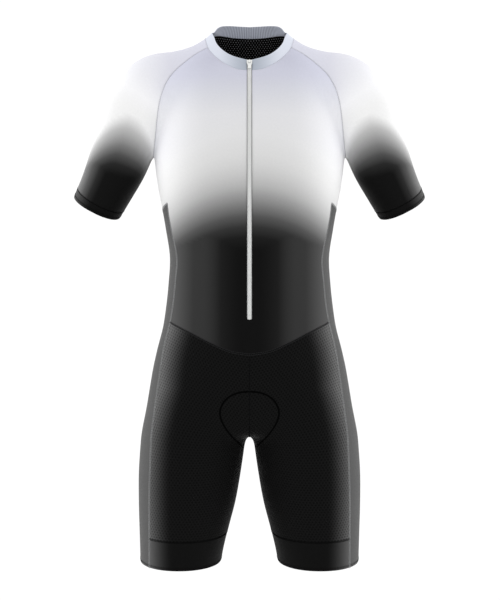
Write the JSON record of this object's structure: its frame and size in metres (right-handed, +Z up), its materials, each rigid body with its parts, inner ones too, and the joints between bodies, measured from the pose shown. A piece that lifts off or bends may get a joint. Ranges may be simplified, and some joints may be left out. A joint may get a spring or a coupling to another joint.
{
  "type": "triathlon suit",
  "caption": "One-piece short-sleeved triathlon suit with raglan sleeves, a stand-up collar, a short front zip and leg bands, filled out as worn.",
  "frame": {"origin": "between the shoulder points of the neck seam, where the neck and shoulders of the wearer hold the suit", "axes": "+Z up, -Y out of the suit's front, +X towards the wearer's left"},
  "size_m": [0.6226, 0.2309, 0.9517],
  "materials": {
    "white_knit": "fine matt knit that fades to black",
    "collar_knit": "fine ribbed knit",
    "black_mesh": "black knit with small holes",
    "black_knit": "dimpled stretch knit",
    "grey_knit": "smooth dark grey stretch knit",
    "black_band": "smooth elastic band",
    "zip_tape": "woven tape",
    "zip_plastic": "moulded coil",
    "zip_metal": "satin paint",
    "pad_foam": "soft brushed foam"
  },
  "bodies": {
    "suit": {"front": "white_knit", "back": "black_mesh", "collar": "collar_knit", "sleeve_left": "white_knit", "sleeve_right": "white_knit", "sleeve_band_left": "black_band", "sleeve_band_right": "black_band", "side_panel_left": "grey_knit", "side_panel_right": "grey_knit", "leg_front_left": "black_knit", "leg_front_right": "black_knit", "leg_back_left": "black_knit", "leg_back_right": "black_knit", "leg_band_left": "black_band", "leg_band_right": "black_band", "seat_pad": "pad_foam", "zip_tape": "zip_tape", "zip_chain": "zip_plastic", "zip_slider": "zip_metal"},
    "pull": {"zip_pull": "zip_metal"}
  },
  "joints": [
    {"name": "pull_hinge", "type": "hinge", "parent": "suit", "child": "pull", "pos_m": [0, -0.05484, -0.03457], "axis": [-1, 0, 0], "range_deg": [0, 170]}
  ]
}
